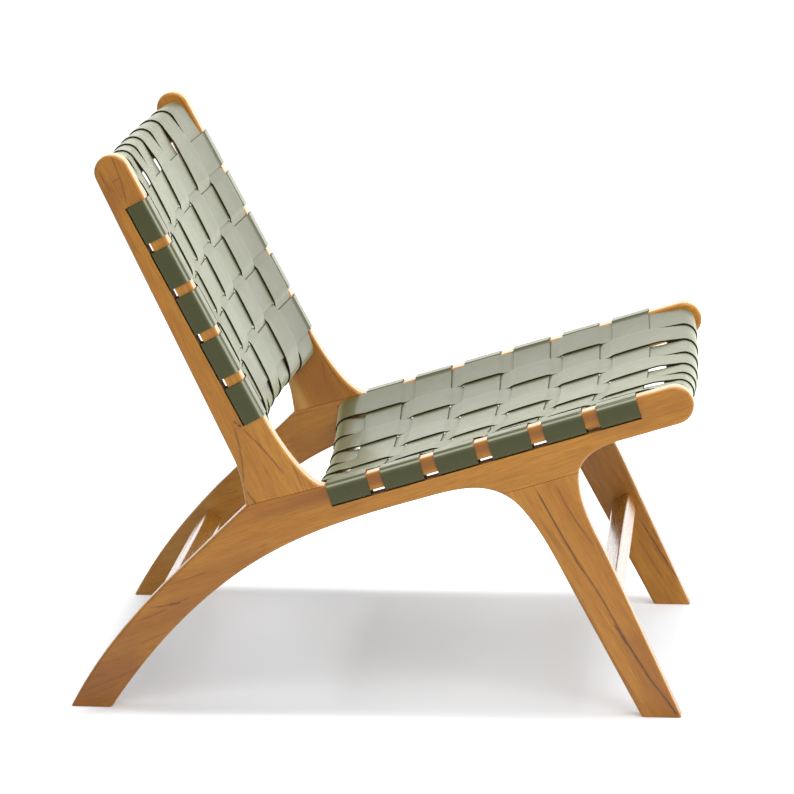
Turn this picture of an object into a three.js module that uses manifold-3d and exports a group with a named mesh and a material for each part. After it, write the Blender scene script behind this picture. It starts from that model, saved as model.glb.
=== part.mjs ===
import * as THREE from 'three';
import { mergeVertices } from 'three/addons/utils/BufferGeometryUtils.js';
import Module from 'manifold-3d';

const wasm = await Module();
wasm.setup();

// Overall sizes in millimetres. The chair faces -Y, its left side is +X, the floor is Z = 0.
const OVERALL_W = 650;
const FRAME_T = 28;
const EDGE_R = 4;
const CLOSEST = 1;
const FIT = 0.3;

// Leather straps
const STRAP_T = 2.4;
const LONG_COUNT = 8;
const LONG_GAP = 2.5;
const SIDE_GAP = 3;
const CROSS_W = 51.5;
const TAB_L = 15;

// Seat panel: slope of the rail, crook where the rail line meets the post line, spacing,
// and the bow at its first and last cross rail
const SEAT_SLOPE = 17;
const CROOK_Y = 91.8;
const CROOK_Z = 282.4;
const SEAT_FIRST = 51.6;
const SEAT_PITCH = 70.2;
const SEAT_COUNT = 6;
const SEAT_BOW = [34.7, 25];
const SEAT_SLOT = 24.75;
const WEAVE_SINK = 1.5;

// Back panel: rake of the post from upright, a point on its front edge, spacing and bow
const BACK_RAKE = 28.1;
const POST_Y = 290.6;
const POST_Z = 648.3;
const BACK_FIRST = 25.1;
const BACK_PITCH = 64.1;
const BACK_COUNT = 5;
const BACK_BOW = [21, 31];
const BACK_SLOT = 24.55;
const SLOT_W = 7;

// Bowed cross rails: thickness, then gap to the nearest cross strap, depth, outer and inner radius
// and drop of each
const RAIL_T = 30;
const SEAT_REAR = { gap: 12.95, depth: 30, radius: 14.5, inner: 14.5, drop: -4.6 };
const SEAT_FRONT = { gap: 20.45, depth: 36, radius: 14.5, inner: 4, drop: 2 };
const BACK_TOP = { gap: 14.65, depth: 40, radius: 14.5, inner: 4, drop: 1.5 };
const BACK_LOW = { gap: 2.25, depth: 30, radius: 14.5, inner: 4, drop: 0.5 };
const TENON_L = 16;
const TENON_W = 18;
const TENON_T = 12;
const TENON_ROOT = 6;

// Side frame: depth of the rail, how far its nose and the post's head pass the cross rails, the
// post's base, and how far the outline runs on below the floor before the soles are cut level
const RAIL_DEPTH = 47.5;
const NOSE_PAST = 11.15;
const NOSE_RUN = 80.2;
const HEAD_R = 21.7;
const HEAD_PAST = 15.4;
const POST_BASE_W = 58.8;
const POST_BASE_UP = 1.5;
const SOLE_DROP = 8;
const LEG_SEAM = 71.5;
const LEG_SEAM_FROM = 225;
const LEG_SEAM_TO = 355;

// Points of the side outline, each with the heading in which the outline passes it
const LEG_TOP = { y: -248, z: 305, way: 270 };
const LEG_KNEE = { y: -286, z: 200.7, way: 245 };
const LEG_TOE = { y: -379.5, z: 0 };
const LEG_HEEL = { y: -329.5, z: 0 };
const LEG_CALF = { y: -239.2, z: 165.5, way: 61 };
const ARCH_FRONT = { y: -175.2, z: 266.5, way: 47 };
const ARCH_TOP = { y: -122, z: 289.2, way: 0 };
const ARCH_REAR = { y: -49.8, z: 274.2, way: -16.3 };
const REAR_CALF = { y: 161.3, z: 187.4, way: -33.5 };
const REAR_SOLE = { y: 339.5, z: 0, way: -56.5 };
const REAR_HEEL = { y: 391.3, z: 0, way: 117 };
const REAR_KNEE = { y: 272, z: 160, way: 134 };
const POST_FOOT = { y: 168, z: 262.4, way: 82 };

// Loose tenons in the two glue seams of each side
const KEY_T = 12;
const KEY_L = 54;
const POST_KEY_W = 48;
const POST_KEY_V = -43;
const LEG_KEY_W = 36;
const LEG_KEY_V = 288;

// Stretchers: section, place of the centre and lean of the leg they sit in
const BAR_ACROSS = 26;
const BAR_ALONG = 25;
const BAR_R = 4;
const FRONT_BAR = { y: -287.5, z: 139.6, lean: -64 };
const REAR_BAR = { y: 285.5, z: 106, lean: 48.5 };
const BAR_TENON = 14;

const TEAK = { color: 0xb7813f, roughness: 0.5 };
const TEAK_INNER = { color: 0xa9743a, roughness: 0.6 };
const LEATHER = { color: 0x5d6344, roughness: 0.55 };

const INNER_X = OVERALL_W / 2 - FRAME_T;
const OUTER_X = OVERALL_W / 2;
const CENTRE_X = (INNER_X + OUTER_X) / 2;
const LONG_PITCH = (2 * (INNER_X - SIDE_GAP)) / LONG_COUNT;
const SEAT_LAST = SEAT_FIRST + (SEAT_COUNT - 1) * SEAT_PITCH;
const BACK_LAST = BACK_FIRST + (BACK_COUNT - 1) * BACK_PITCH;
const HALF_CROSS = CROSS_W / 2;
const HALF_STRAP = STRAP_T / 2;
const LIFT = STRAP_T + FIT;
const OFF_WOOD = HALF_STRAP + FIT;

SEAT_REAR.outer = SEAT_FIRST - HALF_CROSS - SEAT_REAR.gap - SEAT_REAR.depth;
SEAT_FRONT.outer = SEAT_LAST + HALF_CROSS + SEAT_FRONT.gap + SEAT_FRONT.depth;
BACK_TOP.outer = BACK_FIRST - HALF_CROSS - BACK_TOP.gap - BACK_TOP.depth;
BACK_LOW.outer = BACK_LAST + HALF_CROSS + BACK_LOW.gap + BACK_LOW.depth;
const NOSE_V = SEAT_FRONT.outer + NOSE_PAST - RAIL_DEPTH / 2;
const HEAD_V = BACK_TOP.outer - HEAD_PAST + HEAD_R;
const POST_BASE_V = BACK_LOW.outer - POST_BASE_UP;

const rad = THREE.MathUtils.degToRad;

// A slanted frame: x runs across the chair, h stands off the panel, v runs along it
function frameAt(angle, y, z) {
  const c = Math.cos(rad(angle));
  const s = Math.sin(rad(angle));
  return {
    point: (x, h, v) => new THREE.Vector3(x, y + s * h - c * v, z + c * h + s * v),
    flat: (v, h) => new THREE.Vector2(y + s * h - c * v, z + c * h + s * v),
  };
}

const seat = frameAt(SEAT_SLOPE, CROOK_Y, CROOK_Z);
const back = frameAt(BACK_RAKE - 90, POST_Y, POST_Z);

// Bow of a panel as flat facets, one for each long strap, so that the straps lie flat on each other
function bowAt(x, panel, v) {
  const off = Math.min(Math.abs(x), INNER_X);
  const cell = Math.min(LONG_COUNT / 2 - 1, Math.floor(off / LONG_PITCH));
  const at = (i) => 1 - ((i * LONG_PITCH) / INNER_X) ** 2;
  const share = off / LONG_PITCH - cell;
  const shape = at(cell) + (at(cell + 1) - at(cell)) * share;
  return shape * THREE.MathUtils.mapLinear(v, ...panel.span, ...panel.bow);
}

// Moves every vertex of a geometry through a mapping from (x, y, z) to a point
function mapped(geometry, mapping) {
  const position = geometry.attributes.position;
  for (let i = 0; i < position.count; i += 1) {
    const p = mapping(position.getX(i), position.getY(i), position.getZ(i));
    position.setXYZ(i, p.x, p.y, p.z);
  }
  return geometry;
}

function solidOf(geometry) {
  const bare = geometry.clone();
  bare.deleteAttribute('normal');
  bare.deleteAttribute('uv');
  const merged = mergeVertices(bare, 1e-3);
  return new wasm.Manifold(
    new wasm.Mesh({
      numProp: 3,
      vertProperties: new Float32Array(merged.attributes.position.array),
      triVerts: new Uint32Array(merged.index.array),
    }),
  );
}

function geometryOf(solid) {
  const mesh = solid.getMesh();
  const geometry = new THREE.BufferGeometry();
  geometry.setAttribute('position', new THREE.BufferAttribute(mesh.vertProperties, 3));
  geometry.setIndex(new THREE.BufferAttribute(mesh.triVerts, 1));
  geometry.computeVertexNormals();
  return geometry;
}

// A box in a slanted frame, given by its middle and its sizes across, off and along
function blockIn(frame, middle, size) {
  const box = new THREE.BoxGeometry(size[0], size[1], size[2]);
  return solidOf(
    mapped(box, (x, y, z) => frame.point(middle[0] + x, middle[1] + y, middle[2] + z)),
  );
}

const group = new THREE.Group();
group.name = 'woven_strap_lounge_chair';

function addPiece(name, geometry, finish) {
  const material = new THREE.MeshStandardMaterial({
    color: finish.color,
    roughness: finish.roughness,
    metalness: 0,
  });
  const mesh = new THREE.Mesh(geometry, material);
  mesh.name = name;
  group.add(mesh);
}

// The same outline as straight steps, without points that fall on each other
function stepped(outline, divisions) {
  const points = [];
  for (const p of outline.getPoints(divisions)) {
    if (points.every((q) => q.distanceTo(p) > CLOSEST)) {
      points.push(p);
    }
  }
  return new THREE.Shape(points);
}

// Side profile, drawn in the YZ plane
function heading(angle) {
  return new THREE.Vector2(Math.cos(rad(angle)), Math.sin(rad(angle)));
}

const at = (p) => new THREE.Vector2(p.y, p.z);

// Heading of the straight line from one point to another
function headingOf(from, to) {
  return THREE.MathUtils.radToDeg(Math.atan2(to.y - from.y, to.x - from.x));
}

// Smooth run from the end of the path to a point, leaving and arriving at the given headings
function flow(path, end, leave, arrive, pull = 0.34) {
  const start = path.currentPoint.clone();
  const chord = start.distanceTo(end);
  const a = start.clone().addScaledVector(heading(leave), chord * pull);
  const b = end.clone().addScaledVector(heading(arrive), -chord * pull);
  path.bezierCurveTo(a.x, a.y, b.x, b.y, end.x, end.y);
}

// Line to a point of the sole, carried on below the floor along its heading
function sink(path, p, way) {
  const end = at(p).addScaledVector(heading(way), SOLE_DROP / Math.abs(Math.sin(rad(way))));
  path.lineTo(end.x, end.y);
}

// Where a line through one point crosses a line through another
function meet(p, angle, q, other) {
  const a = heading(angle);
  const b = heading(other);
  const share = q.clone().sub(p).cross(b) / a.cross(b);
  return p.clone().addScaledVector(a, share);
}

const SEAT_UP = 180 - SEAT_SLOPE;
const POST_UP = 90 - BACK_RAKE;
const FLARE_END = seat.flat(SEAT_FIRST - HALF_CROSS - 2 * FIT, 0);
const FLARE_TOP = back.flat(BACK_LAST + HALF_CROSS + 2 * FIT, 0);

function sideProfile() {
  const s = new THREE.Shape();
  s.moveTo(FLARE_END.x, FLARE_END.y);
  const noseTop = seat.flat(NOSE_V, 0);
  const noseMid = seat.flat(NOSE_V, -RAIL_DEPTH / 2);
  s.lineTo(noseTop.x, noseTop.y);
  s.absarc(noseMid.x, noseMid.y, RAIL_DEPTH / 2, rad(90 - SEAT_SLOPE), rad(270 - SEAT_SLOPE), false);
  const under = seat.flat(NOSE_V - NOSE_RUN, -RAIL_DEPTH);
  s.lineTo(under.x, under.y);
  flow(s, at(LEG_TOP), SEAT_UP + 180, LEG_TOP.way, 0.37);
  flow(s, at(LEG_KNEE), LEG_TOP.way, LEG_KNEE.way);
  sink(s, LEG_TOE, headingOf(at(LEG_KNEE), at(LEG_TOE)));
  sink(s, LEG_HEEL, headingOf(at(LEG_CALF), at(LEG_HEEL)));
  s.lineTo(LEG_CALF.y, LEG_CALF.z);
  let last = LEG_CALF;
  for (const next of [ARCH_FRONT, ARCH_TOP, ARCH_REAR, REAR_CALF, REAR_SOLE]) {
    flow(s, at(next), last.way, next.way);
    last = next;
  }
  sink(s, REAR_SOLE, REAR_SOLE.way);
  sink(s, REAR_HEEL, REAR_HEEL.way + 180);
  s.lineTo(REAR_HEEL.y, REAR_HEEL.z);
  flow(s, at(REAR_KNEE), REAR_HEEL.way, REAR_KNEE.way);
  s.lineTo(POST_FOOT.y, POST_FOOT.z);
  const base = back.flat(POST_BASE_V, -POST_BASE_W);
  const headBack = back.flat(HEAD_V, -2 * HEAD_R);
  flow(s, base, POST_FOOT.way, headingOf(base, headBack));
  s.lineTo(headBack.x, headBack.y);
  const headMid = back.flat(HEAD_V, -HEAD_R);
  s.absarc(headMid.x, headMid.y, HEAD_R, rad(POST_UP - 90), rad(POST_UP + 90), false);
  s.lineTo(FLARE_TOP.x, FLARE_TOP.y);
  const crook = meet(FLARE_TOP, POST_UP, FLARE_END, SEAT_UP);
  const a = FLARE_TOP.clone().lerp(crook, 0.62);
  const b = FLARE_END.clone().lerp(crook, 0.5);
  s.bezierCurveTo(a.x, a.y, b.x, b.y, FLARE_END.x, FLARE_END.y);
  return s;
}

// Slab that parts two pieces along a glue seam, and the piece of space above it
const seamAngle = -headingOf(FLARE_END, at(POST_FOOT));
const postSeam = frameAt(seamAngle, FLARE_END.x, FLARE_END.y);

function seamSlab(frame, middle, from, to) {
  return blockIn(frame, [0, middle, (from + to) / 2], [OVERALL_W * 2, FIT, to - from]);
}

function tenonHole(frame, side, h, v, across, along) {
  const deep = TENON_L + 2 * FIT;
  const middle = side * (INNER_X + deep / 2 - FIT);
  return blockIn(frame, [middle, h, v], [deep, across + 2 * FIT, along + 2 * FIT]);
}

const PANELS = {
  seat: {
    frame: seat,
    bow: SEAT_BOW,
    span: [SEAT_REAR.outer, SEAT_FRONT.outer],
    first: SEAT_FIRST,
    pitch: SEAT_PITCH,
    count: SEAT_COUNT,
  },
  back: {
    frame: back,
    bow: BACK_BOW,
    span: [BACK_TOP.outer, BACK_LOW.outer],
    first: BACK_FIRST,
    pitch: BACK_PITCH,
    count: BACK_COUNT,
  },
};

// Top of a bowed rail: a long strap that passes under the cross straps rests on it
function railTop(rail) {
  return -(WEAVE_SINK + LIFT + OFF_WOOD + rail.drop);
}

function railMiddle(rail) {
  const inward = rail === SEAT_REAR || rail === BACK_TOP ? 1 : -1;
  return rail.outer + (inward * rail.depth) / 2;
}

const RAIL_SEATS = [
  { name: 'seat_rear_rail', panel: PANELS.seat, rail: SEAT_REAR },
  { name: 'seat_front_rail', panel: PANELS.seat, rail: SEAT_FRONT },
  { name: 'back_top_rail', panel: PANELS.back, rail: BACK_TOP },
  { name: 'back_bottom_rail', panel: PANELS.back, rail: BACK_LOW },
];

const frontBar = frameAt(FRONT_BAR.lean, FRONT_BAR.y, FRONT_BAR.z);
const rearBar = frameAt(REAR_BAR.lean, REAR_BAR.y, REAR_BAR.z);

function slotCut(panel, depth, side) {
  const from = panel.first - HALF_CROSS - FIT;
  const to = panel.first + (panel.count - 1) * panel.pitch + HALF_CROSS + FIT;
  const size = [FRAME_T * 2, SLOT_W, to - from];
  return blockIn(panel.frame, [side * CENTRE_X, -depth, (from + to) / 2], size);
}

function buildSide(side, label) {
  const plate = new THREE.ExtrudeGeometry(stepped(sideProfile(), 6), {
    depth: FRAME_T - 2 * EDGE_R,
    bevelThickness: EDGE_R,
    bevelSize: EDGE_R,
    bevelOffset: -EDGE_R,
    bevelSegments: 2,
  });
  const start = side * CENTRE_X - FRAME_T / 2 + EDGE_R;
  let whole = solidOf(mapped(plate, (x, y, z) => new THREE.Vector3(z + start, x, y)));
  const reach = OVERALL_W * 2;
  whole = whole.subtract(blockIn(frameAt(0, 0, 0), [0, -reach / 2, 0], [reach, reach, reach]));
  whole = whole.subtract(slotCut(PANELS.seat, SEAT_SLOT, side));
  whole = whole.subtract(slotCut(PANELS.back, BACK_SLOT, side));
  for (const { panel, rail } of RAIL_SEATS) {
    const h = railTop(rail) - RAIL_T / 2;
    whole = whole.subtract(tenonHole(panel.frame, side, h, railMiddle(rail), TENON_W, TENON_T));
  }
  for (const bar of [frontBar, rearBar]) {
    whole = whole.subtract(tenonHole(bar, side, 0, 0, BAR_TENON, BAR_TENON));
  }
  const key = (h, v, width, extra) =>
    blockIn(seat, [side * CENTRE_X, h, v], [KEY_T + extra, KEY_L + extra, width + extra]);
  whole = whole.subtract(key(0, POST_KEY_V, POST_KEY_W, 2 * FIT));
  whole = whole.subtract(key(-LEG_SEAM, LEG_KEY_V, LEG_KEY_W, 2 * FIT));
  whole = whole.subtract(seamSlab(postSeam, 0, -reach, 0));
  whole = whole.subtract(seamSlab(seat, -LEG_SEAM, LEG_SEAM_FROM, LEG_SEAM_TO));
  const abovePost = blockIn(postSeam, [0, reach / 2, -reach / 2], [reach, reach, reach]);
  const belowLeg = blockIn(
    seat,
    [0, -LEG_SEAM - reach / 2, (LEG_SEAM_FROM + LEG_SEAM_TO) / 2],
    [reach, reach, (LEG_SEAM_TO - LEG_SEAM_FROM) * 3],
  );
  const post = whole.intersect(abovePost);
  const rest = whole.subtract(abovePost);
  const leg = rest.intersect(belowLeg);
  const rail = rest.subtract(belowLeg);
  addPiece(`${label}_side_rail`, geometryOf(rail), TEAK);
  addPiece(`${label}_back_post`, geometryOf(post), TEAK);
  addPiece(`${label}_front_leg`, geometryOf(leg), TEAK);
  addPiece(`${label}_post_tenon`, geometryOf(key(0, POST_KEY_V, POST_KEY_W, 0)), TEAK_INNER);
  addPiece(`${label}_leg_tenon`, geometryOf(key(-LEG_SEAM, LEG_KEY_V, LEG_KEY_W, 0)), TEAK_INNER);
}

buildSide(1, 'left');
buildSide(-1, 'right');

// Section with two outer corners of one radius and two inner corners of another
function railSection(size, thick, outer, inner) {
  const s = new THREE.Shape();
  const h = thick / 2;
  const d = size / 2;
  s.moveTo(-d + outer, -h);
  s.lineTo(d - inner, -h);
  s.absarc(d - inner, -h + inner, inner, rad(-90), 0, false);
  s.absarc(d - inner, h - inner, inner, 0, rad(90), false);
  s.lineTo(-d + outer, h);
  s.absarc(-d + outer, h - outer, outer, rad(90), rad(180), false);
  s.absarc(-d + outer, -h + outer, outer, rad(180), rad(270), false);
  return s;
}

// A rail between the two sides with a tenon at each end; turned round when its outer edge faces +v
function crossRail(frame, section, middle, turned, panel, tenon) {
  const length = 2 * (INNER_X - FIT);
  const options = { depth: length, steps: panel ? LONG_COUNT : 1, bevelEnabled: false };
  const bar = new THREE.ExtrudeGeometry(stepped(section, 2), options);
  const way = turned ? -1 : 1;
  const solid = solidOf(
    mapped(bar, (x, y, z) => {
      const across = length / 2 - z;
      const along = middle[1] + way * x;
      const bow = panel ? bowAt(across, panel, along) : 0;
      return frame.point(way * across, middle[0] + y - bow, along);
    }),
  );
  const full = [2 * (INNER_X + TENON_L), tenon[0], tenon[1]];
  const stub = (side) => {
    const inner = INNER_X - TENON_ROOT;
    const size = [full[0] / 2 - inner, tenon[0], tenon[1]];
    return blockIn(frame, [side * (inner + size[0] / 2), middle[0], middle[1]], size);
  };
  return geometryOf(solid.add(stub(1)).add(stub(-1)));
}

for (const { name, panel, rail } of RAIL_SEATS) {
  const section = railSection(rail.depth, RAIL_T, rail.radius, rail.inner);
  const middle = [railTop(rail) - RAIL_T / 2, railMiddle(rail)];
  const turned = rail === SEAT_FRONT || rail === BACK_LOW;
  addPiece(name, crossRail(panel.frame, section, middle, turned, panel, [TENON_W, TENON_T]), TEAK);
}

for (const [name, frame] of [['front_stretcher', frontBar], ['rear_stretcher', rearBar]]) {
  const section = railSection(BAR_ALONG, BAR_ACROSS, BAR_R, BAR_R);
  addPiece(name, crossRail(frame, section, [0, 0], false, null, [BAR_TENON, BAR_TENON]), TEAK);
}

// Closed outline of a strap of even thickness that follows a middle line
function ribbon(line, thickness) {
  const left = [];
  const right = [];
  for (let i = 0; i < line.length; i += 1) {
    const before = line[Math.max(i - 1, 0)];
    const after = line[Math.min(i + 1, line.length - 1)];
    const a = line[i].clone().sub(before);
    const b = after.clone().sub(line[i]);
    const u = (a.length() > 0 ? a : b).clone().normalize();
    const w = (b.length() > 0 ? b : a).clone().normalize();
    const normal = new THREE.Vector2(-(u.y + w.y), u.x + w.x).normalize();
    const reach = thickness / 2 / Math.max(0.5, normal.x * -u.y + normal.y * u.x);
    left.push(line[i].clone().addScaledVector(normal, reach));
    right.push(line[i].clone().addScaledVector(normal, -reach));
  }
  return new THREE.Shape(left.concat(right.reverse()));
}

function arcPoints(cx, cy, radius, from, to, steps) {
  const points = [];
  for (let i = 0; i <= steps; i += 1) {
    const angle = rad(from + ((to - from) * i) / steps);
    points.push(new THREE.Vector2(cx + radius * Math.cos(angle), cy + radius * Math.sin(angle)));
  }
  return points;
}

// Wrap of a long strap round its rail, from the tail under the rail to where it leaves for a point
function wrapPoints(rail, way, target) {
  const top = railTop(rail);
  const centre = [rail.outer + way * rail.radius, top - rail.radius];
  const low = top - RAIL_T + rail.radius;
  const reach = rail.radius + OFF_WOOD;
  const dx = way * (target.x - centre[0]);
  const dy = target.y - centre[1];
  const leave = THREE.MathUtils.radToDeg(Math.atan2(dy, dx) + Math.acos(reach / Math.hypot(dx, dy)));
  const tail = new THREE.Vector2(rail.depth - rail.inner, top - RAIL_T - OFF_WOOD);
  const under = arcPoints(rail.radius, low, reach, 270, 180, 4);
  const over = arcPoints(rail.radius, centre[1], reach, 180, leave, 6);
  return [tail, ...under, ...over].map((p) => new THREE.Vector2(rail.outer + way * p.x, p.y));
}

function longLine(panel, railA, railB, overFirst) {
  const weave = [];
  for (let i = 0; i < panel.count; i += 1) {
    const v = panel.first + i * panel.pitch;
    const over = i % 2 === 0 ? overFirst : !overFirst;
    const h = -WEAVE_SINK + (over ? LIFT : -LIFT);
    weave.push(new THREE.Vector2(v - HALF_CROSS - FIT, h));
    weave.push(new THREE.Vector2(v + HALF_CROSS + FIT, h));
  }
  const head = wrapPoints(railA, 1, weave[0]);
  const tail = wrapPoints(railB, -1, weave[weave.length - 1]).reverse();
  return head.concat(weave, tail);
}

function longStrap(panel, railA, railB, index, overFirst) {
  const middle = LONG_PITCH * ((LONG_COUNT - 1) / 2 - index);
  const width = LONG_PITCH - LONG_GAP;
  const shape = ribbon(longLine(panel, railA, railB, overFirst), STRAP_T);
  const strap = new THREE.ExtrudeGeometry(shape, { depth: width, bevelEnabled: false });
  return mapped(strap, (x, y, z) => {
    const across = middle + width / 2 - z;
    return panel.frame.point(across, y - bowAt(across, panel, x), x);
  });
}

// Middle line of a cross strap from the centre out to one side, in the plane across the chair
function crossHalf(panel, slot, v) {
  const line = [];
  for (let i = 0; i <= LONG_COUNT / 2; i += 1) {
    const x = i * LONG_PITCH + (i === LONG_COUNT / 2 ? FIT : 0);
    line.push(new THREE.Vector2(x, -WEAVE_SINK - bowAt(x, panel, v)));
  }
  const edge = EDGE_R + OFF_WOOD;
  const last = line[line.length - 1];
  const dx = last.x - INNER_X - EDGE_R;
  const dy = last.y + EDGE_R;
  const leave = THREE.MathUtils.radToDeg(Math.atan2(dy, dx) - Math.acos(edge / Math.hypot(dx, dy)));
  line.push(...arcPoints(INNER_X + EDGE_R, -EDGE_R, edge, leave, 90, 2));
  line.push(...arcPoints(OUTER_X - EDGE_R, -EDGE_R, edge, 90, 0, 4));
  line.push(...arcPoints(OUTER_X, -slot + SLOT_W / 2, OFF_WOOD, 0, -90, 2));
  line.push(...arcPoints(INNER_X, -slot - SLOT_W / 2, OFF_WOOD, 90, 180, 2));
  line.push(new THREE.Vector2(INNER_X - OFF_WOOD, -slot - SLOT_W / 2 - TAB_L));
  return line;
}

function crossStrap(panel, slot, index) {
  const v = panel.first + index * panel.pitch;
  const half = crossHalf(panel, slot, v);
  const other = half.slice(1).map((p) => new THREE.Vector2(-p.x, p.y));
  const shape = ribbon(other.reverse().concat(half), STRAP_T);
  const strap = new THREE.ExtrudeGeometry(shape, { depth: CROSS_W, bevelEnabled: false });
  const start = v - HALF_CROSS;
  return mapped(strap, (x, y, z) => {
    const twist = bowAt(x, panel, v) - bowAt(x, panel, start + z);
    return panel.frame.point(x, y + twist, start + z);
  });
}

for (let i = 0; i < LONG_COUNT; i += 1) {
  const even = i % 2 === 0;
  const seatStrap = longStrap(PANELS.seat, SEAT_REAR, SEAT_FRONT, i, even);
  addPiece(`seat_long_strap_${i + 1}`, geometryOf(solidOf(seatStrap)), LEATHER);
  const backStrap = longStrap(PANELS.back, BACK_TOP, BACK_LOW, i, !even);
  addPiece(`back_long_strap_${i + 1}`, geometryOf(solidOf(backStrap)), LEATHER);
}
for (let i = 0; i < SEAT_COUNT; i += 1) {
  const strap = crossStrap(PANELS.seat, SEAT_SLOT, i);
  addPiece(`seat_cross_strap_${i + 1}`, geometryOf(solidOf(strap)), LEATHER);
}
for (let i = 0; i < BACK_COUNT; i += 1) {
  const strap = crossStrap(PANELS.back, BACK_SLOT, i);
  addPiece(`back_cross_strap_${i + 1}`, geometryOf(solidOf(strap)), LEATHER);
}

// The origin lies on the floor under the middle of the chair's box
const box = new THREE.Box3().setFromObject(group);
const middle = box.getCenter(new THREE.Vector3());
for (const mesh of group.children) {
  mesh.geometry.translate(-middle.x, -middle.y, -box.min.z);
}

export default group;
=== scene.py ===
import math
from itertools import accumulate, product

import bmesh
import bpy
from bpy.props import FloatProperty, FloatVectorProperty, PointerProperty
from mathutils import Color, Matrix, Vector
from mathutils.geometry import interpolate_bezier


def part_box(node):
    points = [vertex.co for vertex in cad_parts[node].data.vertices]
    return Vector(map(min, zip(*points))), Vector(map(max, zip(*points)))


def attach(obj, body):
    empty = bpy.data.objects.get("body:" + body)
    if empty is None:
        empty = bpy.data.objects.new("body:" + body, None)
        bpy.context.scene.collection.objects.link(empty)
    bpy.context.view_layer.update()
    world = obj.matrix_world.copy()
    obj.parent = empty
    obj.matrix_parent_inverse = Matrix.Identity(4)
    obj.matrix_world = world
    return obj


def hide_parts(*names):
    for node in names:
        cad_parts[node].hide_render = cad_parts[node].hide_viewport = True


bl_info = {
    "name": "Woven strap lounge chair",
    "version": (1, 0, 0),
    "blender": (4, 5, 0),
    "location": "3D View > Sidebar > Chair",
    "description": "Dresses the packed lounge chair with teak boards and woven leather straps",
    "category": "Object",
}

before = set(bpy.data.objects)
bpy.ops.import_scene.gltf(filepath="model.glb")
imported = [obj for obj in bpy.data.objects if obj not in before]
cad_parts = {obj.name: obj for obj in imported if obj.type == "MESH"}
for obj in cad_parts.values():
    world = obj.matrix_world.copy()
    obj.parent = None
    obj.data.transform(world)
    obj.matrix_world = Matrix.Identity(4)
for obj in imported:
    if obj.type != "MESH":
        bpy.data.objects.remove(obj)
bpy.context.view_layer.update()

# The chair is drawn in millimetres and made in metres. Points this near are taken as one.
MM = 0.001
NEAR = 0.01
SIDES = {"left": 1, "right": -1}

# Side boards, and the gap round whatever is let into them
FIT = 0.3
BOARD_T = 28
OUTER_X = 325
INNER_X = OUTER_X - BOARD_T
CENTRE_X = (INNER_X + OUTER_X) / 2
RAIL_DEPTH = 47.5
HEAD_R = 21.7
BOARD_EDGE = 4
SOLE_DROP = 8
OUTLINE_STEP = 4
SEAT_SLOPE = 17
BACK_RAKE = 28.1
SEAT_UP = 180 - SEAT_SLOPE
POST_UP = 90 - BACK_RAKE

# Points of the side outline: place along the chair, height, and heading of the outline there
LEG_TOP = (-248, 305, 270)
LEG_KNEE = (-286, 200.7, 245)
LEG_TOE = (-379.5, 0)
LEG_HEEL = (-329.5, 0)
LEG_CALF = (-239.2, 165.5, 61)
ARCH_FRONT = (-175.2, 266.5, 47)
ARCH_TOP = (-122, 289.2, 0)
ARCH_REAR = (-49.8, 274.2, -16.3)
REAR_CALF = (161.3, 187.4, -33.5)
REAR_SOLE = (339.5, 0, -56.5)
REAR_HEEL = (391.3, 0, 117)
REAR_KNEE = (272, 160, 134)
POST_FOOT = (168, 262.4, 82)
NOSE_V = 472.2
NOSE_RUN = 80.2
HEAD_V = -49
POST_BASE = (338, -58.8)

# How hard the curves pull at their ends: most of them, the one at the nose, and post to rail
PULL = 0.34
NOSE_PULL = 0.37
CROOK_PULL = (0.62, 0.5)

# Glue seams, how far the post's cut runs past its seam, and the loose tenons in them
SEAM_PAST = (10, 30)
LEG_SEAM_H = -71.5
LEG_SEAM_V = (225, 355)
KEY = (12, 54)
POST_KEY = (0, -43, 48)
LEG_KEY = (LEG_SEAM_H, 288, 36)

# Straps and weave. DROP is where a long strap drops beside a crossing, over what run, and the share of
# its lift that is left. FOLD is where a cross strap turns over its board, along it from its middle.
LONG_COUNT = 8
LONG_PITCH = 73.5
CROSS_W = 51.5
STRAP_STEP = 1.8
HALF_STEPS = 60
EDGE_ROW = 2
WEAVE_SINK = 1
LIFT = 2.05
DROP = (0.4, 2.6, 0.2)
ROLL_TILT = 1.8
ROLL_EASE = 14
OFF_WOOD = 1.25
SLOT_W = 7
SLOT_BEND = (3.5, 0.97)
TAB_L = 15
# A highlight is painted along the fold of each cross strap
FOLD = 327.4

# Tacks: places across a strap, height, drop on the tab and distance from the rail's inner rounding
TACK_PLACES = (-0.3, 0.3)
TACK_RISE = 0.45
TACK_DROP = 0.6
TACK_INSET = 6

# Bowed rails: thickness, sink under the panel, and tenon by length, height, depth and root in the rail
RAIL_T = 30
RAIL_SINK = 5.7
TENON = (16, 18, 12)
TENON_ROOT = 6

# Stretchers: section, then lean and place of each
BAR = (26, 25)
BAR_TENON = 14
FRONT_BAR = (-64, -287.5, 139.6)
REAR_BAR = (48.5, 285.5, 106)

# Angles in degrees up to which wood and tacks are shaded smooth
WOOD_SMOOTH = 32
TACK_SMOOTH = 50

# Camera: place, pitch and yaw, and its focal length against the picture's width in pixels
CAMERA_PLACE = (-6225.75, -473.93, 1529.69)
CAMERA_PITCH = 10.77
CAMERA_YAW = 4.38
FOCAL_PX = 4850
PICTURE_PX = 794
SENSOR = 36
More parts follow.
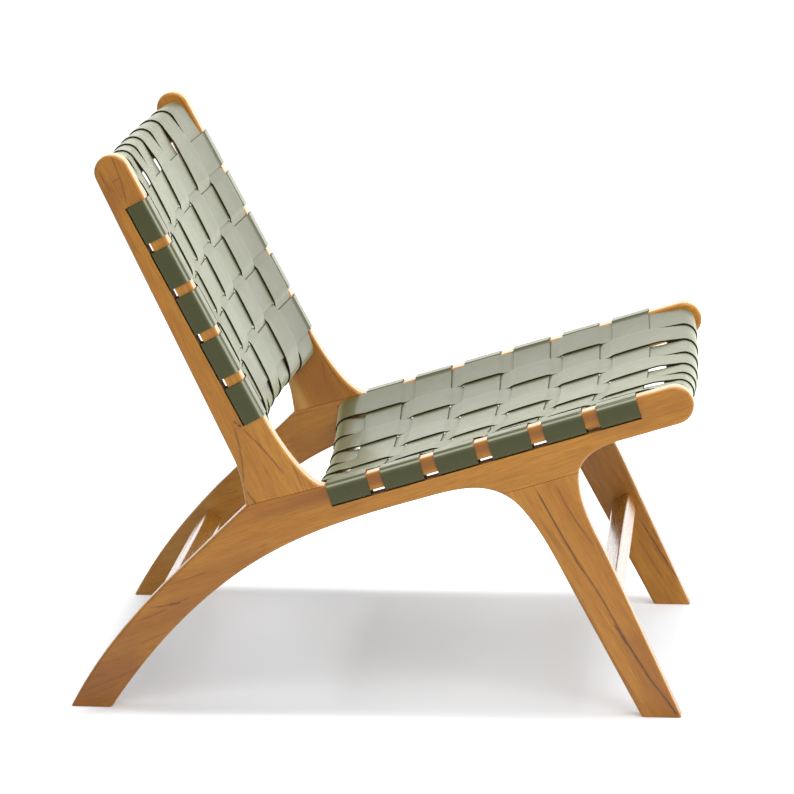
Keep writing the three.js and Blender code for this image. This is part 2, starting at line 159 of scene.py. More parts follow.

# Stage in metres: the floor, the box under the chair where its glow is lowered as a painted shadow, and
# each lamp's place, aim and size with the setting that holds its power
FLOOR_R = 16
FLOOR_Z = -0.0003
SHADED_X = 0.33
SHADED_Y = -0.025
SHADED_REACH = 0.365
LAMPS = {
    "lamp_above": ((0, -0.3, 2.7), (0, 0, 0.3), (0.5, 2.0), "key_power"),
    "lamp_camera": ((-2.0, -0.8, 2.3), (0, 0, 0.5), (1.6, 1.6), "fill_power"),
    "lamp_front": ((-0.8, -2.4, 1.15), (-0.1, 0, 0.45), (1.2, 0.8), "front_power"),
    "lamp_behind": ((2.6, -0.8, 1.1), (0, -0.5, 1.0), (3.8, 2.2), "back_power"),
}

# The drawing's place in the frame, read from the front stretcher
BAR_LOW, BAR_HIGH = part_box("front_stretcher")
DATUM_Y = (BAR_LOW[1] + BAR_HIGH[1]) / (2 * MM) - FRONT_BAR[1]


class Slant:
    """A slanted frame: x across the chair, h off the panel and v along it."""

    def __init__(self, angle, y, z, bow=(0, 0), span=(0, 1), first=0, pitch=0, count=0, slot=0):
        self.c = math.cos(math.radians(angle))
        self.s = math.sin(math.radians(angle))
        self.y, self.z = y, z
        self.bow, self.span = bow, span
        self.first, self.pitch, self.count, self.slot = first, pitch, count, slot

    def flat(self, v, h):
        return Vector((self.y + self.s * h - self.c * v, self.z + self.c * h + self.s * v))

    def point(self, x, h, v):
        y, z = self.flat(v, h)
        return Vector((x, y, z))

    def off(self):
        return Vector((0, self.s, self.c))

    def dip(self, x, v):
        """How far the bowed panel lies below its edges at x and v."""
        share = (v - self.span[0]) / (self.span[1] - self.span[0])
        depth = self.bow[0] + (self.bow[1] - self.bow[0]) * share
        return depth * (1 - (min(abs(x), INNER_X) / INNER_X) ** 2)

    def crossing(self, index):
        return self.first + index * self.pitch

    def woven(self, more=0):
        """Start and stop of the cross straps along the panel, with a margin."""
        last = self.crossing(self.count - 1)
        return self.first - CROSS_W / 2 - more, last + CROSS_W / 2 + more


class Rail:
    """Section and place of a bowed rail; way is +1 where its outer edge faces the panel's start."""

    def __init__(self, outer, depth, radius, inner, drop, way):
        self.outer, self.depth, self.radius, self.inner, self.way = outer, depth, radius, inner, way
        self.top = -(RAIL_SINK + drop)

    def middle(self):
        return self.outer + self.way * self.depth / 2


SEAT_SPAN = (-17.1, 484.8)
BACK_SPAN = (-55.3, 339.5)
SEAT = Slant(SEAT_SLOPE, 91.8, 282.4, (34.7, 25), SEAT_SPAN, first=51.6, pitch=70.2, count=6, slot=24.75)
BACK = Slant(-POST_UP, 290.6, 648.3, (21, 31), BACK_SPAN, first=25.1, pitch=64.1, count=5, slot=24.55)
SEAT_REAR = Rail(SEAT_SPAN[0], 30, 14.5, 14.5, -4.6, 1)
SEAT_FRONT = Rail(SEAT_SPAN[1], 36, 14.5, 4, 2, -1)
BACK_TOP = Rail(BACK_SPAN[0], 40, 14.5, 4, 1.5, 1)
BACK_BOTTOM = Rail(BACK_SPAN[1], 30, 14.5, 4, 0.5, -1)
RAILS = {
    "seat_rear_rail": (SEAT, SEAT_REAR),
    "seat_front_rail": (SEAT, SEAT_FRONT),
    "back_top_rail": (BACK, BACK_TOP),
    "back_bottom_rail": (BACK, BACK_BOTTOM),
}
STRETCHERS = {"front_stretcher": Slant(*FRONT_BAR), "rear_stretcher": Slant(*REAR_BAR)}

# Woven panels: frame, the rails at its ends, and which long straps start over a cross strap
PANELS = {"seat": (SEAT, (SEAT_REAR, SEAT_FRONT), 0), "back": (BACK, (BACK_TOP, BACK_BOTTOM), 1)}


def size(name, default, description):
    return FloatProperty(
        name=name, default=default, description=description, min=0.0, unit="LENGTH", precision=5
    )


def power(name, default, description):
    return FloatProperty(name=name, default=default, description=description, min=0.0, subtype="POWER")


def colour(name, shown, description):
    """A colour setting, given as it looks on a screen, from 0 to 255."""
    linear = Color([part / 255 for part in shown]).from_srgb_to_scene_linear()
    return FloatVectorProperty(
        name=name, default=(*linear, 1.0), description=description, min=0.0, max=1.0, size=4,
        subtype="COLOR",
    )


class ChairSizes(bpy.types.PropertyGroup):
    """Small sizes that the finish adds to the frame."""

    strap_thickness: size("Strap thickness", 0.0019, "Thickness of the strap leather")
    strap_gap: size("Strap gap", 0.0006, "Gap between neighbouring long straps in the weave")
    roll_gap: size("Roll gap", 0.0028, "Gap between long straps where they turn round the rails")
    strap_edge: size("Strap edge", 0.0003, "Rounding of the cut edges of the straps")
    strap_arch: size("Strap arch", 0.0004, "Rise of a long strap in the middle of a crossing")
    strap_crown: size("Strap crown", 0.0002, "Rise of a long strap's middle over its edges")
    board_edge: size("Board edge", 0.004, "Rounding of the edges of the side boards")
    sole_edge: size("Sole edge", 0.0012, "Rounding of the edges of the soles")
    seam_gap: size("Seam gap", 0.0005, "Width of the glue seams between the boards")
    tack_radius: size("Tack radius", 0.0032, "Radius of the tack heads that hold the strap ends")


class ChairColours(bpy.types.PropertyGroup):
    """Colours of the teak, the leather and the tacks."""

    teak_light: colour("Teak light", (204, 141, 47), "Early wood and open grain")
    teak_mid: colour("Teak", (177, 113, 28), "Main colour of the oiled teak")
    teak_dark: colour("Teak dark", (140, 82, 22), "Late wood bands")
    # Painted highlight: this paler colour lies on the edge walls of the side boards; it also colours the
    # pale stains
    teak_pale_and_edge_highlight: colour("Teak rim", (203, 155, 80), "Paler rounded edges of the boards")
    teak_vein: colour("Teak vein", (62, 34, 14), "Dark veins and pores")
    leather: colour("Leather", (55, 56, 9), "Dyed grain side of the straps")
    leather_pale: colour("Leather pale", (65, 66, 19), "Paler clouds on the grain side")
    # Also the colour of the highlight painted along the cross straps' folds
    leather_sheen: colour("Leather sheen", (226, 231, 190), "Tint of the pale sheen on the straps")
    leather_edge: colour("Leather edge", (20, 20, 14), "Painted cut edges of the straps")
    leather_flesh: colour("Leather flesh", (112, 102, 78), "Rough inner side of the straps")
    tack: colour("Tack", (150, 128, 84), "Tack heads")


class StageSettings(bpy.types.PropertyGroup):
    """Light and floor."""

    floor: colour("Floor", (235, 238, 242), "Colour of the studio floor")
    world_level: FloatProperty(
        name="World level", default=0.36, min=0.0, description="Strength of the even light from all round"
    )
    key_power: power("Key power", 42.0, "Power of the lamp above")
    back_power: power("Back power", 36.0, "Power of the wide lamp behind")
    fill_power: power("Fill power", 32.0, "Power of the lamp at the camera")
    front_power: power("Front power", 15.0, "Power of the lamp in front")


# Outline of the side boards
def heading(angle):
    return Vector((math.cos(math.radians(angle)), math.sin(math.radians(angle))))


def flow(line, end, leave, arrive, pull=PULL):
    """Adds a smooth run to a point, leaving and arriving at the given headings."""
    start = line[-1]
    end = Vector(end[:2])
    chord = (end - start).length
    first = start + heading(leave) * chord * pull
    second = end - heading(arrive) * chord * pull
    steps = max(5, round(chord / OUTLINE_STEP))
    line.extend(interpolate_bezier(start, first, second, end, steps + 1)[1:])


def arc(line, centre, radius, start, stop, steps):
    for i in range(steps + 1):
        line.append(centre + heading(start + (stop - start) * i / steps) * radius)


def sink(line, point, way):
    """Adds a line to a point of the sole, carried on below the floor along its heading."""
    line.append(Vector(point[:2]) + heading(way) * SOLE_DROP / abs(math.sin(math.radians(way))))


def way_between(start, stop):
    return math.degrees(math.atan2(stop[1] - start[1], stop[0] - start[0]))


def crossing_of(p, angle, q, other):
    """Where the line through one point meets the line through another."""
    a, b = heading(angle), heading(other)
    return p + a * ((q - p).cross(b) / a.cross(b))


def flare_ends():
    """Where the curve between rail and post starts and ends."""
    return SEAT.flat(SEAT.woven(2 * FIT)[0], 0), BACK.flat(BACK.woven(2 * FIT)[1], 0)


def side_outline():
    """Outline of a whole side, with its seams still closed."""
    end, top = flare_ends()
    line = [end]
    nose = SEAT.flat(NOSE_V, -RAIL_DEPTH / 2)
    arc(line, nose, RAIL_DEPTH / 2, SEAT_UP - 90, SEAT_UP + 90, 14)
    line.append(SEAT.flat(NOSE_V - NOSE_RUN, -RAIL_DEPTH))
    flow(line, LEG_TOP, SEAT_UP + 180, LEG_TOP[2], NOSE_PULL)
    flow(line, LEG_KNEE, LEG_TOP[2], LEG_KNEE[2])
    sink(line, LEG_TOE, way_between(LEG_KNEE, LEG_TOE))
    sink(line, LEG_HEEL, way_between(LEG_CALF, LEG_HEEL))
    line.append(Vector(LEG_CALF[:2]))
    last = LEG_CALF
    for point in (ARCH_FRONT, ARCH_TOP, ARCH_REAR, REAR_CALF, REAR_SOLE):
        flow(line, point, last[2], point[2])
        last = point
    sink(line, REAR_SOLE, REAR_SOLE[2])
    sink(line, REAR_HEEL, REAR_HEEL[2] + 180)
    line.append(Vector(REAR_HEEL[:2]))
    flow(line, REAR_KNEE, REAR_HEEL[2], REAR_KNEE[2])
    line.append(Vector(POST_FOOT[:2]))
    base = BACK.flat(*POST_BASE)
    head = BACK.flat(HEAD_V, -2 * HEAD_R)
    flow(line, base, POST_FOOT[2], way_between(base, head))
    arc(line, BACK.flat(HEAD_V, -HEAD_R), HEAD_R, POST_UP - 90, POST_UP + 90, 14)
    line.append(top)
    crook = crossing_of(top, POST_UP, end, SEAT_UP)
    first, second = (point.lerp(crook, pull) for point, pull in zip((top, end), CROOK_PULL))
    line.extend(interpolate_bezier(top, first, second, end, 24)[1:-1])
    return [point for point in line if abs(point.y) > NEAR]


# Mesh helpers
def move(bm, place):
    """Moves every vertex through a mapping from its coordinates to a point in millimetres."""
    for vert in bm.verts:
        vert.co = place(vert.co)


def box_in(bm, slant, middle, extent):
    """Adds a box in a slanted frame, by its middle and its sizes across, off and along."""
    made = bmesh.ops.create_cube(bm, size=1)["verts"]
    for vert in made:
        x, h, v = (m + c * e for m, c, e in zip(middle, vert.co, extent))
        vert.co = slant.point(x, h, v)
    bm.normal_update()
    bmesh.ops.recalc_face_normals(bm, faces=list({f for vert in made for f in vert.link_faces}))


def round_off(bm, edges, radius, segments):
    bmesh.ops.bevel(
        bm, geom=edges, offset=radius, offset_type="OFFSET", segments=segments, profile=0.5,
        affect="EDGES", material=-1, clamp_overlap=False,
    )


def bar_between(height, depth):
    """A square bar that spans the side boards."""
    bm = bmesh.new()
    bmesh.ops.create_cube(bm, size=1)
    bmesh.ops.scale(bm, verts=bm.verts, vec=(2 * (INNER_X - FIT), height, depth))
    return bm


def face_out(bm):
    bmesh.ops.recalc_face_normals(bm, faces=bm.faces)


def loose(*sizes):
    return [size + 2 * FIT for size in sizes]


def long_edges(bm):
    return [e for e in bm.edges if abs(e.verts[0].co.x - e.verts[1].co.x) > 1]


def end_tenons(slant, h, v, section):
    """The tenons at both ends of a bar between the side boards."""
    bm = bmesh.new()
    across = TENON_ROOT + TENON[0]
    for side in SIDES.values():
        box_in(bm, slant, (side * (INNER_X - TENON_ROOT + across / 2), h, v), (across, *section))
    return bm


def new_object(name, data):
    thing = bpy.data.objects.new(name, data)
    bpy.context.scene.collection.objects.link(thing)
    return thing


def mesh_object(name, bm):
    mesh = bpy.data.meshes.new(name)
    bm.to_mesh(mesh)
    bm.free()
    return new_object(name, mesh)


def combined(bm, other, operation):
    """The shape of one mesh cut by, or joined with, another."""
    body, tool = mesh_object("temporary", bm), mesh_object("temporary", other)
    change = body.modifiers.new("change", "BOOLEAN")
    change.object, change.operation, change.solver = tool, operation, "EXACT"
    change.use_self = True
    evaluated = body.evaluated_get(bpy.context.evaluated_depsgraph_get())
    made = bmesh.new()
    made.from_mesh(evaluated.to_mesh())
    evaluated.to_mesh_clear()
    for thing in (body, tool):
        mesh = thing.data
        bpy.data.objects.remove(thing)
        bpy.data.meshes.remove(mesh)
    return made


def body_of(vert):
    """All vertices that edges join to one vertex."""
    body, reach = {vert}, [vert]
    while reach:
        near = {other for edge in reach.pop().link_edges for other in edge.verts} - body
        body |= near
        reach.extend(near)
    return body


def part_of(bm, keep):
    """A copy of the mesh with only the given vertices."""
    numbers = {vert.index for vert in keep}
    copy = bm.copy()
    copy.verts.ensure_lookup_table()
    gone = [vert for vert in copy.verts if vert.index not in numbers]
    bmesh.ops.delete(copy, geom=gone, context="VERTS")
    return copy


def make_piece(name, bm, materials, node=None):
    """Turns a mesh drawn in millimetres into a piece of the chair, for a frame node if one is named."""
    bmesh.ops.translate(bm, verts=bm.verts, vec=(0, DATUM_Y, 0))
    bmesh.ops.scale(bm, verts=bm.verts, vec=(MM, MM, MM))
    piece = mesh_object(name, bm)
    for material in materials:
        piece.data.materials.append(material)
    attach(piece, "root")
    if node:
        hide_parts(node)
    return piece


def smooth(piece, angle):
    piece.data.shade_smooth()
    piece.data.set_sharp_from_angle(angle=math.radians(angle))


def grain_turn(along):
    """Turns the frame's coordinates into the wood's: along the grain, across the board, through it."""
    along = Vector(along).normalized()
    through = Vector((1, 0, 0)) if abs(along.x) < 0.9 else Vector((0, 0, 1))
    across = through.cross(along).normalized()
    return Matrix((along, across, through))


def wood_piece(name, bm, finish, node, along, offset):
    """A piece of teak, which stores its place in its own wood."""
    piece = make_piece(name, bm, [finish_named(finish)], node)
    smooth(piece, WOOD_SMOOTH)
    turn = grain_turn(along)
    layer = piece.data.attributes.new("grain", "FLOAT_VECTOR", "POINT")
    for vert, cell in zip(piece.data.vertices, layer.data):
        cell.vector = turn @ vert.co + Vector(offset)
    piece.modifiers.new("flat faces", "WEIGHTED_NORMAL").keep_sharp = True


# Shader nodes
class Value:
    """An output of a shader node, which can be reckoned with like a number."""

    def __init__(self, socket):
        self.socket, self.tree = socket, socket.id_data

    def math(self, operation, *others, clamp=False):
        inputs = dict(enumerate((self, *others)))
        return add_value(self.tree, "Math", inputs, operation=operation, use_clamp=clamp)

    def __add__(self, other):
        return self.math("ADD", other)

    def __sub__(self, other):
        return self.math("SUBTRACT", other)

    def __mul__(self, other):
        return self.math("MULTIPLY", other)

    def __truediv__(self, other):
        return self.math("DIVIDE", other)

    def __abs__(self):
        return self.math("ABSOLUTE")


def feed(sockets, inputs):
    """Links sockets by name to values, or sets them to plain numbers and colours."""
    for name, value in inputs.items():
        if isinstance(value, Value):
            value.tree.links.new(value.socket, sockets[name])
        else:
            sockets[name].default_value = value


def add_node(tree, kind, inputs=None, **settings):
    node = tree.nodes.new("ShaderNode" + kind)
    for name, value in settings.items():
        setattr(node, name, value)
    feed(node.inputs, inputs or {})
    return node


def add_value(tree, kind, inputs=None, out=0, **settings):
    return Value(add_node(tree, kind, inputs, **settings).outputs[out])


def spread(value, low, high, start=0, stop=1):
    """Maps a value from one range to another, smoothly and held at the ends."""
    ends = {"Value": value, "From Min": low, "From Max": high, "To Min": start, "To Max": stop}
    return add_value(value.tree, "MapRange", ends, interpolation_type="SMOOTHSTEP")


def mix(share, first, second):
    """A colour between two others."""
    return add_value(share.tree, "Mix", {0: share, 6: first, 7: second}, out=2, data_type="RGBA")


def noise(vector, scale, detail=2, rough=0.5):
    place = add_value(vector.tree, "VectorMath", {0: vector, 1: scale}, operation="MULTIPLY")
    inputs = {"Vector": place, "Scale": 1, "Detail": detail, "Roughness": rough}
    return add_value(vector.tree, "TexNoise", inputs)


def parts_of(vector):
    return [Value(part) for part in add_node(vector.tree, "SeparateXYZ", {0: vector}).outputs]


def bumped(height, strength, distance):
    """The surface's normal, bent by a height."""
    inputs = {"Strength": strength, "Distance": distance, "Height": height}
    return add_value(height.tree, "Bump", inputs)


def object_place(tree):
    return add_value(tree, "TexCoord", out="Object")


def seen_rays(tree):
    """1 for rays that show the backdrop: those of the camera, of gloss and through glass."""
    rays = add_node(tree, "LightPath").outputs
    camera, gloss, glass = (Value(rays[f"Is {kind} Ray"]) for kind in ("Camera", "Glossy", "Transmission"))
    return (camera + gloss).math("ADD", glass, clamp=True)


# Grain masks
def teak_grain(given):
    """Masks of sawn teak: broad tone, late wood bands, fine fibre, thin veins and open pores."""
    grain = given["Grain"]
    drift = noise(grain, (2.5, 16, 16)) * 0.02 - 0.01
    shift = add_value(grain.tree, "CombineXYZ", {"Y": drift})
    bent = add_value(grain.tree, "VectorMath", {0: grain, 1: shift}, operation="ADD")
    veins = spread(abs(noise(bent, (1.6, 26, 20), 1.5) - 0.52), 0, 0.016, 1, 0)
    broken = spread(noise(bent, (9, 60, 60)), 0.48, 0.7)
    return {
        "Tone": spread(noise(bent, (1.6, 24, 24), 3), 0.3, 0.7),
        "Bands": spread(noise(bent, (2.2, 190, 140), 3, 0.6), 0.38, 0.75),
        "Fibre": spread(noise(bent, (24, 680, 680), 3, 0.6), 0.36, 0.68),
        "Veins": veins * broken * given["Vein"],
        "Pores": spread(noise(bent, (40, 1400, 1400), 1), 0.58, 0.74),
    }


def grain_line(given):
    """Masks of one dark line and its halo, bent, at an angle to the grain and fading at the ends."""
    grain, angle, width = given["Grain"], given["Angle"], given["Width"]
    x, y, _ = parts_of(grain)
    along, across = x - given["Along"], y - given["Across"]
    cos, sin = angle.math("COSINE"), angle.math("SINE")
    run = along * cos + across * sin
    sway = (noise(grain, (40, 40, 40), 3) - 0.5) * 0.0016
    away = abs(across * cos - along * sin - run * run * given["Bend"] + sway)
    reach = width * (noise(grain, (90, 300, 300)) * 1.8 + 0.1)
    ends = spread(abs(run) / given["Length"], 0.36, 0.52, 1, 0)
    return {
        "Line": spread(away / reach.math("MAXIMUM", 0.00005), 0.3, 1.3, 1, 0) * ends,
        "Halo": spread(away / (width * 5), 0, 1, 1, 0) * ends,
    }


def leather_grain(given):
    """Masks of dyed leather: slow clouds, fine pebble and the shade close to the strap's edges."""
    strap = given["Strap"]
    inputs = {"Vector": strap, "Scale": 900}
    height = add_value(strap.tree, "TexVoronoi", inputs, voronoi_dimensions="2D", feature="SMOOTH_F1")
    height += noise(strap, (420, 420, 1), 3) * 0.6
    height += noise(strap, (190, 260, 1), 2, 0.6) * 1.6
    height += noise(strap, (70, 45, 1), 3) * 3
    return {
        "Clouds": spread(noise(strap, (26, 40, 1), 4, 0.6), 0.3, 0.72),
        "Height": height,
        "Edge": spread(given["Half Width"] - abs(parts_of(strap)[1]), 0, 0.0012, 1, 0),
    }


# Grain groups: the masks, and the names of the vector and the numbers that they start from
GRAINS = {
    "teak_grain": (teak_grain, "Grain", ["Vein"]),
    "grain_line": (grain_line, "Grain", ["Angle", "Along", "Across", "Length", "Bend", "Width"]),
    "leather_grain": (leather_grain, "Strap", ["Half Width"]),
}


def grain_group(name):
    build, place, numbers = GRAINS[name]
    group = bpy.data.node_groups.new(name, "ShaderNodeTree")
    group.interface.new_socket(place, in_out="INPUT", socket_type="NodeSocketVector")
    for label in numbers:
        group.interface.new_socket(label, in_out="INPUT", socket_type="NodeSocketFloat")
    given = group.nodes.new("NodeGroupInput").outputs
    masks = build({socket.name: Value(socket) for socket in given})
    for label in masks:
        group.interface.new_socket(label, in_out="OUTPUT", socket_type="NodeSocketFloat")
    feed(group.nodes.new("NodeGroupOutput").inputs, masks)
    return group


def grain_masks(tree, name, inputs):
    """Places a grain group, made on first use, and gives its masks by name."""
    group = bpy.data.node_groups.get(name) or grain_group(name)
    node = add_node(tree, "Group", inputs, node_tree=group)
    return {mask.name: Value(mask) for mask in node.outputs}


# Grain of the side boards: heading, and where their wood starts along and across it
BOARD_GRAIN = {"rail": (160, -0.7, 0.13), "post": (POST_UP, -1.9, 0.41), "leg": (58, -3.1, 0.77)}

# Figure of the side boards, with some painted shade. Each row is a line's middle along the chair and in
# height, its heading, length, bend, width and strength. A row wider than a vein is a stain or a patch of
# painted shade, and pale below a strength of 0.
VEIN_W = 2
HEART_LINES = (
    # Painted shade: the front leg darker towards its foot
    (-350, 40, -113, 170, 0, 8, 0.4),
    (-223.8, 238.5, -119.8, 120, -0.28, 0.65, 0.95),
    (-278.5, 151, -121.5, 140, 0.62, 0.65, 0.95),
    (-324.6, 72.7, -122.4, 90, -0.38, 0.9, 1),
    (-302, 106.5, -122, 34, 0, 0.9, 0.8),
    (-360.2, 22.6, -126.5, 54, 0.7, 0.75, 0.9),
    (-242, 255.4, -122.4, 100, -1.44, 0.9, 0.45),
    (-289.3, 79.8, -119.8, 170, -0.03, 0.5, 0.45),
)
KNOT_LINES = (
    (330, 668, 62, 100, 0, 8, 0.3),
    (173.7, 327.7, -99.7, 76, 1.74, 0.7, 0.6),
    (144.1, 333.5, -132.1, 82, 1.24, 0.7, 0.6),
    (160.4, 273, -128, 21, -0.73, 0.5, 0.85),
    (102.9, 302.4, -112, 32, 2.05, 0.6, 0.4),
    (175.1, 364.6, -149.2, 6, 0, 1.6, 0.8),
    (180.2, 368.5, -146.4, 6, 0, 1.2, 0.6),
    (321.3, 672.4, -107.6, 64, 1.82, 0.6, 0.65),
    (340.8, 669.3, -119.2, 32, -3.63, 0.8, 0.45),
    (326.1, 672.7, 151.1, 15, 20, 0.55, 0.6),
    (329.8, 654.9, -158.6, 30, 0, 7, 0.4),
)
FOOT_LINES = (
    # Painted shade: the wood gaps between the seat wraps darker
    (-102, 332.3, 163, 500, 0, 2.6, 0.85),
    (-330, 385, 163, 150, 0, 6, 0.3),
    # Painted shade: the rear leg darker towards its foot
    (230, 140, 145, 240, 0, 8, 0.4),
    (337.5, 36.2, 155.9, 82, -0.35, 0.5, 0.7),
    (363.4, 38.3, 157.5, 40, 8, 0.45, 0.6),
    (353.1, 20, 156.5, 48, -4, 0.5, 0.55),
    (262.9, 134.6, 163.7, 56, -4.17, 0.5, 0.6),
    (258, 135.5, 170, 16, 0, 1.2, 0.5),
    (287.2, 119.4, 154.6, 44, -2.11, 0.45, 0.5),
    (241.4, 167.9, 159.5, 52, -0.34, 0.5, 0.5),
    (284.3, 91.5, 155.2, 40, 0, 0.45, 0.45),
    # Painted shade: the rear foot darker still
    (360, 30, 157, 150, 0, 14, 0.7),
    (110, 262, 165, 110, 0, 2.2, 0.35),
)
FAR_LEG_LINES = (
    (-252, 176, -114, 120, 0, 3.5, 0.3),
    (-341, 69, -122.4, 116, 0, 0.65, 0.75),
    (-324, 64, -122.6, 72, 0, 0.45, 0.45),
    (-330, 99, -116, 20, 0, 0.6, 0.6),
)
FAR_POST_LINES = (
    (128, 312, 62, 200, 0, 9, 0.55),
    (170, 302, 64, 110, 0, 2.4, -0.8),
    (126, 318, 80, 40, 0, 0.8, 0.3),
    (116, 322, 58, 60, 0, 0.7, 0.3),
)
FAR_RAIL_LINES = (
    (105.7, 270.2, 60, 7, 0, 1.4, 0.6),
    (104, 268, -20, 7, 0, 1.2, 0.5),
    (150, 262, 165, 60, 0, 0.6, 0.3),
    (132, 223.5, 158, 95, 0, 9, 0.5),
    (310, 92, 122, 130, 0, 12, -0.4),
)
TEAKS = {
    "oiled_teak": {},
    "polished_teak": {"polish": 0.45},
    "teak_heart_leg": {"board": "leg", "lines": HEART_LINES},
    "teak_knot_post": {"board": "post", "warmth": 0.3, "lines": KNOT_LINES},
    "teak_figured_rail": {"board": "rail", "warmth": 0.6, "lines": FOOT_LINES},
    "teak_far_leg": {"board": "leg", "lines": FAR_LEG_LINES, "way": -1},
    "teak_far_post": {"board": "post", "lines": FAR_POST_LINES, "way": -1},
    "teak_far_rail": {"board": "rail", "warmth": 0.3, "lines": FAR_RAIL_LINES, "way": -1},
}
LEATHERS = {
    "strap_long": {},
    "strap_cross": {"width": CROSS_W, "fold": FOLD},
    "strap_flesh": {"flesh": True},
}


# Materials
def new_material(name):
    material = bpy.data.materials.new(name)
    material.use_nodes = True
    tree = material.node_tree
    return material, tree, tree.nodes["Principled BSDF"].inputs, bpy.context.scene.chair_colours


def board_line(tree, grain, board, way, row):
    """Masks of one line of a board's figure, on the side that way names."""
    y, z, course, length, bend, width = row
    angle, start, across = BOARD_GRAIN[board]
    middle = grain_turn((0, *heading(angle))) @ Vector((0, y + DATUM_Y, z)) * MM
    return grain_masks(tree, "grain_line", {
        "Grain": grain,
        "Angle": math.radians(course - angle),
        "Along": middle.x + way * start,
        "Across": middle.y + across,
        "Length": length * MM,
        "Bend": bend,
        "Width": width * MM,
    })


def teak_material(name, board=None, warmth=0.5, lines=(), way=1, polish=0):
    """Oiled teak, with the figure, some painted shade and the paler edges, a painted highlight, of a side
    board where one is named.
    """
    material, tree, shader, colours = new_material(name)
    grain = add_value(tree, "Attribute", out="Vector", attribute_name="grain")
    wood = grain_masks(tree, "teak_grain", {"Grain": grain, "Vein": 0.6})
    share = (wood["Tone"] * 0.8).math("ADD", warmth - 0.4, clamp=True)
    shade = mix(share, colours.teak_light, colours.teak_mid)
    for mask, strength, tint in (
        ("Bands", 0.22, colours.teak_dark),
        ("Fibre", 0.5, colours.teak_dark),
        ("Veins", 0.4, colours.teak_vein),
        ("Pores", 0.35, colours.teak_vein),
    ):
        shade = mix(wood[mask] * strength, shade, tint)
    for *row, strength in lines:
        line = board_line(tree, grain, board, way, row)
        # A wide row is a stain, or a patch of painted shade where the table says so
        if row[-1] > VEIN_W:
            tint = colours.teak_pale_and_edge_highlight if strength < 0 else colours.teak_dark
            shade = mix(line["Halo"] * abs(strength), shade, tint)
        else:
            shade = mix(line["Halo"] * (strength * 0.6), shade, colours.teak_dark)
            shade = mix(line["Line"] * strength, shade, colours.teak_vein)
    # Painted highlight: the narrow edge walls of a side board, away from its broad faces, are paler in the
    # base colour
    if board:
        off = abs(abs(parts_of(object_place(tree))[0]) - CENTRE_X * MM)
        shade = mix(spread(off, 0.0105, 0.0136, 0.75, 0), shade, colours.teak_pale_and_edge_highlight)
    feed(shader, {
        "Base Color": shade,
        "Roughness": wood["Pores"] * 0.12 + wood["Bands"] * 0.06 + 0.25,
        "Normal": bumped(wood["Pores"] * -0.7 + wood["Fibre"] * -0.3, 0.2, 0.0003),
        "Specular IOR Level": 0.4,
        "Coat Weight": polish,
        "Coat Roughness": 0.2,
    })
    return material


def leather_material(name, width=None, flesh=False, fold=None):
    """Dyed leather. A fold is a place along the strap, from its middle, where a highlight is painted in
    its colour and its coat is raised.
    """
    material, tree, shader, colours = new_material(name)
    strap = add_value(tree, "UVMap", uv_map="strap")
    half = (width or long_width()) * MM / 2
    skin = grain_masks(tree, "leather_grain", {"Strap": strap, "Half Width": half})
    coat = 0.12
    if flesh:
        shade = mix(skin["Clouds"] * 0.6, colours.leather_flesh, colours.leather)
        gloss, rise = 0.82, 0.5
    else:
        shade = mix(skin["Clouds"] * 0.6, colours.leather, colours.leather_pale)
        shade = mix(skin["Edge"] * 0.4, shade, colours.leather_edge)
        gloss, rise = 0.37, 0.16
        feed(shader, {
            "Sheen Weight": 0.55,
            "Sheen Roughness": 0.4,
            "Sheen Tint": colours.leather_sheen,
            "Coat Weight": coat,
            "Coat Roughness": 0.14,
        })
    if fold:
        off = abs(abs(parts_of(strap)[0]) - fold * MM)
        # Painted highlight: a pale line in the base colour along the fold, with the coat raised round it
        shade = mix(spread(off, 0.0003, 0.0018, 0.42, 0), shade, colours.leather_sheen)
        feed(shader, {"Coat Weight": spread(off, 0.002, 0.0045, 1, coat)})
    feed(shader, {
        "Base Color": shade,
        "Roughness": skin["Clouds"] * 0.06 + gloss,
        "Normal": bumped(skin["Height"], rise, 0.0003),
        "Specular IOR Level": 0.35,
    })
    return material


def edge_material(name):
    """Painted cut edges of the straps."""
    material, tree, shader, colours = new_material(name)
    fibre = noise(object_place(tree), (700, 700, 700), 3)
    feed(shader, {
        "Base Color": mix(spread(fibre, 0.3, 0.7), colours.leather_edge, colours.leather),
        "Roughness": fibre * 0.2 + 0.6,
        "Normal": bumped(fibre, 0.2, 0.0002),
        "Specular IOR Level": 0.2,
    })
    return material


def tack_material(name):
    material, tree, shader, colours = new_material(name)
    dull = noise(object_place(tree), (300, 300, 300), 3)
    feed(shader, {
        "Base Color": mix(spread(dull, 0.35, 0.75), colours.tack, colours.teak_vein),
        "Roughness": dull * 0.3 + 0.25,
        "Metallic": 1,
    })
    return material


def finish_named(name):
    """A material by name, made on first use."""
    if name in bpy.data.materials:
        return bpy.data.materials[name]
    if name in TEAKS:
        return teak_material(name, **TEAKS[name])
    if name in LEATHERS:
        return leather_material(name, **LEATHERS[name])
    return edge_material(name) if name == "strap_edge" else tack_material(name)


# Straps
def long_width():
    return LONG_PITCH - bpy.context.scene.chair_sizes.strap_gap / MM


def lengths(line):
    """How far along a line each of its points lies."""
    return list(accumulate(((b - a).length for a, b in zip(line, line[1:])), initial=0.0))


def eased(line, step, passes):
    """The same line in even steps, with its corners softened."""
    ends = lengths(line)
    count = round(ends[-1] / step)
    points = []
    at = 0
    for i in range(count + 1):
        reach = ends[-1] * i / count
        while at < len(line) - 2 and ends[at + 1] < reach:
            at += 1
        share = (reach - ends[at]) / max(ends[at + 1] - ends[at], 1e-9)
        points.append(line[at].lerp(line[at + 1], share))
    for _ in range(passes):
        inner = [(a + b * 2 + c) / 4 for a, b, c in zip(points, points[1:], points[2:])]
        points = [points[0]] + inner + [points[-1]]
    return points


